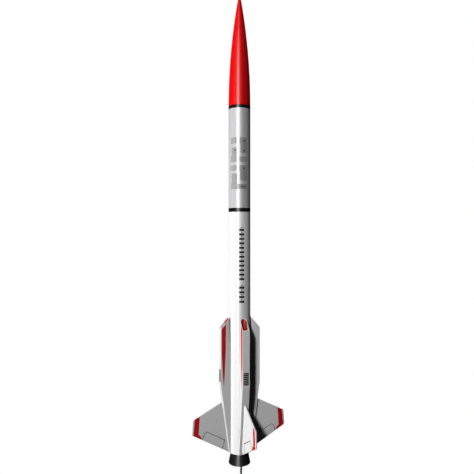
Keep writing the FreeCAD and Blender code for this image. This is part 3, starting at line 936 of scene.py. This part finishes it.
# The grille is a comb: seven bars joined by a spine along one side.
GRILLE_BARS = 7
GRILLE_LOW, GRILLE_HIGH, GRILLE_HALF = 129.1, 148.7, 4.0
GRILLE_SPINE = 2.9
GAP_SHARE = 0.2
bar_pitch = (GRILLE_HIGH - GRILLE_LOW) / GRILLE_BARS
gap = GAP_SHARE * bar_pitch
comb = [(GRILLE_HALF, GRILLE_LOW), (GRILLE_HALF, GRILLE_HIGH - gap)]
for k in reversed(range(GRILLE_BARS)):
    bar_low = GRILLE_LOW + k * bar_pitch
    comb += [(-GRILLE_HALF, bar_low + bar_pitch - gap), (-GRILLE_HALF, bar_low)]
    if k:
        comb += [(GRILLE_SPINE, bar_low), (GRILLE_SPINE, bar_low - gap)]
GRILLE = in_mm(comb)
TIP_STRIPE = in_mm([
    (64.4, 78.8), (72.2, 74.8), (74.3, 50.4), (61.2, 43.1), (62.2, 47.4), (66.3, 51.4),
])
FLAP_CORNERS = in_mm([(60.2, 42.5), (57.0, 51.8), (53.4, 54.0), (24.7, 38.0), (28.4, 25.2)])
FLAP_LINE = thin_line(FLAP_CORNERS, 0.0008)
STRIPED_FLANKS = {"left": 1, "front": -1, "right": 1, "back": -1}

for side, quarter in QUARTERS.items():
    pod_flank = on_flank(quarter, STRIPED_FLANKS[side], pod_half)
    film(f"pod_stripe_{side}", [POD_STRIPE], pod_flank, red_film)
    film(f"pod_grille_{side}", [GRILLE], on_pod_face(quarter), black_film)
    for word, sign in (("a", 1), ("b", -1)):
        flank = on_flank(quarter, sign, fin_half)
        film(f"fin_stripe_{side}_{word}", [TIP_STRIPE], flank, red_film)
        film(f"flap_line_{side}_{word}", [FLAP_LINE], flank, black_film)
print("pod and fin films on:", list(QUARTERS))

# %% [markdown]
# ## Glue fillets
# A builder runs a bead of glue along both sides of each fin and launch lug and smooths it with a
# finger, which leaves a small hollow curve in the corner. The gap could be left sharp, but a
# fillet is what makes a finished rocket look all one piece. The curve is swept along the corner.

# %% Sweep a hollow bead along a corner
FILLET_R = 0.0014
FILLET_STEPS = 6
FILLET_SINK = 0.00008  # how far the bead's back lies inside the parts
BEAD_STEPS = 12
BEAD_WANDER = 0.12  # a finger leaves the bead a little uneven


def fillet_section(corner, along_a, along_b, radius):
    """A corner's bead: its back in the corner, its face a quarter circle that curves inward."""
    centre = corner + (along_a + along_b) * radius
    back = corner - (along_a + along_b) * FILLET_SINK
    face = []
    for k in range(FILLET_STEPS + 1):
        turn = math.pi / 2 * k / FILLET_STEPS
        face.append(centre - along_b * radius * math.cos(turn) - along_a * radius * math.sin(turn))
    face[0] = face[0] - along_b * FILLET_SINK
    face[-1] = face[-1] - along_a * FILLET_SINK
    return [back] + face


def bead_piece(name, beads, finish):
    """Beads as (start, end, one wall's direction, the other's, radius), swept into one piece."""
    bm = bmesh.new()
    for start, end, along_a, along_b, radius in beads:
        rings = []
        for k in range(BEAD_STEPS + 1):
            corner = start.lerp(end, k / BEAD_STEPS)
            worked = radius * (1 + BEAD_WANDER * noise.noise(corner * 90))
            rings.append(fillet_section(corner, along_a, along_b, worked))
        skin_rings(bm, rings)
    piece = new_piece(name, mesh_from(name, bm), finish)
    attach(piece, "airframe")


# %% Beads on the fins and lugs
TAPER_TOP_Z = 0.1258  # where the pods' faces start to slope in to the tail
BEAD_INSET = 0.0006
fin_low, fin_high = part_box("fin_right")
root_slope = (pod_face_r - tube_r) / (TAPER_TOP_Z - tail_z)
root_low = Vector((fin_low[0] + root_slope * 2 * BEAD_INSET, 0, tail_z + 2 * BEAD_INSET))
root_high_z = fin_high[2] - BEAD_INSET
root_high = Vector((tube_r + root_slope * (root_high_z - tail_z), 0, root_high_z))
root_way = (root_high - root_low).normalized()
away_from_root = Vector((root_way.z, 0, -root_way.x))
for side, quarter in QUARTERS.items():
    beads = []
    for sign in (1, -1):
        to_flank = Vector((0, sign * fin_half, 0))
        ends = root_low + to_flank, root_high + to_flank
        walls = Vector((0, sign, 0)), away_from_root
        beads.append([turned(part, quarter) for part in ends + walls] + [FILLET_R])
    bead_piece(f"fin_fillet_{side}", beads, white_sheet)

LUG_TURN = math.pi / 4
LUG_FILLET_R = 0.0010
LUG_FOOT_HALF = 0.0009  # from the line where the lug touches the tube to the bead's corner
LUG_FOOT_SINK = 0.00002
TUBE_LEAN, LUG_LEAN = 0.06, 0.55  # how the two round walls lean away from the corner
lug_out = Vector((math.cos(LUG_TURN), math.sin(LUG_TURN), 0))
lug_side = Vector((-math.sin(LUG_TURN), math.cos(LUG_TURN), 0))
for word, finish, slot in (
    ("lower", white_tube, "white_paint"), ("upper", silver_tube, "silver_paint"),
):
    lug_low, lug_high = span_of(f"{word}_launch_lug")
    bottom, top = (Vector((0, 0, z)) for z in (lug_low + BEAD_INSET, lug_high - BEAD_INSET))
    beads = []
    for sign in (1, -1):
        foot = lug_out * (tube_r - LUG_FOOT_SINK) + lug_side * sign * LUG_FOOT_HALF
        along_tube = (lug_side * sign - lug_out * TUBE_LEAN).normalized()
        along_lug = (lug_out + lug_side * sign * LUG_LEAN).normalized()
        beads.append([foot + bottom, foot + top, along_tube, along_lug, LUG_FILLET_R])
    bead_piece(f"{word}_lug_fillet", beads, finish)
print("fillets on", list(QUARTERS), "fins and both lugs")

# %% [markdown]
# ## Paper, card and the parts inside
# The engine is a wound kraft casing with a clay nozzle, pressed powders and a paper cap. The
# centring rings are die-cut card, the coupler and mounts are rolled fibre. Paper shows fine
# fibres along its roll, clay a fine grain, powder coarse grains. One builder makes all of these
# from two noises: one stretched for fibres, or even for grain, and one broad for stains.

# %% Papers, clay and powders


def fibrous(name, colour, roughness, grain, stretch=(1, 1, 1), depth=0.0002, contrast=0.16):
    made = Finish(name, colour, roughness)
    fibre = made.noise(grain, 5.0, 0.6, where=made.stretched(stretch))
    stain = made.noise(45.0, 3.0)
    blend = made.sum("ADD", made.sum("MULTIPLY", fibre, 0.65), made.sum("MULTIPLY", stain, 0.35))
    dark = tuple(c * (1 - contrast) for c in colour)
    light = tuple(min(1.0, c * (1 + contrast)) for c in colour)
    made.colour(made.tint(made.span(blend, 0.35, 0.65), dark, light))
    made.rough(made.span(fibre, 0.3, 0.7, roughness - 0.08, roughness + 0.06))
    made.bump(fibre, depth, 0.7)
    return made


kraft_card = fibrous("kraft_card", (0.36, 0.22, 0.12), 0.82, 900.0, (0.25, 0.25, 1))
fibre_card = fibrous("fibre_card", (0.55, 0.44, 0.30), 0.80, 800.0, (1, 1, 0.3))
casing_paper = fibrous("casing_paper", (0.42, 0.27, 0.16), 0.72, 700.0, (0.2, 0.2, 1), 0.0001)
clay = fibrous("pressed_clay", (0.40, 0.34, 0.28), 0.9, 2400.0, depth=0.0003)
black_powder = fibrous(
    "pressed_propellant", (0.025, 0.024, 0.023), 0.75, 3200.0, depth=0.0004, contrast=0.5,
)
delay_powder = fibrous(
    "pressed_delay", (0.11, 0.10, 0.09), 0.85, 2800.0, depth=0.0003, contrast=0.3,
)
starter_coating = fibrous(
    "starter_coating", (0.05, 0.03, 0.03), 0.6, 2600.0, depth=0.0004, contrast=0.4,
)
for finish, names in (
    (kraft_card, ("motor_tube", "tube_coupler", "shock_cord_mount")),
    (fibre_card, ("rear_centering_ring", "front_centering_ring", "thrust_ring")),
    (casing_paper, ("motor_casing", "motor_end_cap")),
    (clay, ("clay_nozzle",)),
    (black_powder, ("propellant_grain", "ejection_charge")),
    (delay_powder, ("delay_charge",)),
    (starter_coating, ("starter_tip",)),
):
    wear(*names, finish)

# %% [markdown]
# ## Wire and the starter's plug
# The swivel is bent plated wire. A metal has no colour of its own under its shine: the shader's
# metallic value does the work, with fine drawn lines in the roughness. The plug is soft yellow
# plastic, so that it is easily seen and not left in.

# %% Plated wire and soft plastic
plated_wire = Finish("plated_wire", (0.62, 0.61, 0.58), 0.28, Metallic=1.0)
drawn = plated_wire.noise(1800.0, 3.0)
plated_wire.rough(plated_wire.span(drawn, 0.3, 0.7, 0.20, 0.38))
plated_wire.bump(drawn, 0.00003, 0.4)
plug_plastic = moulded("yellow_plug_plastic", (0.78, 0.52, 0.04), 0.42)
wear("snap_swivel", plated_wire)
wear("starter_plug", plug_plastic)
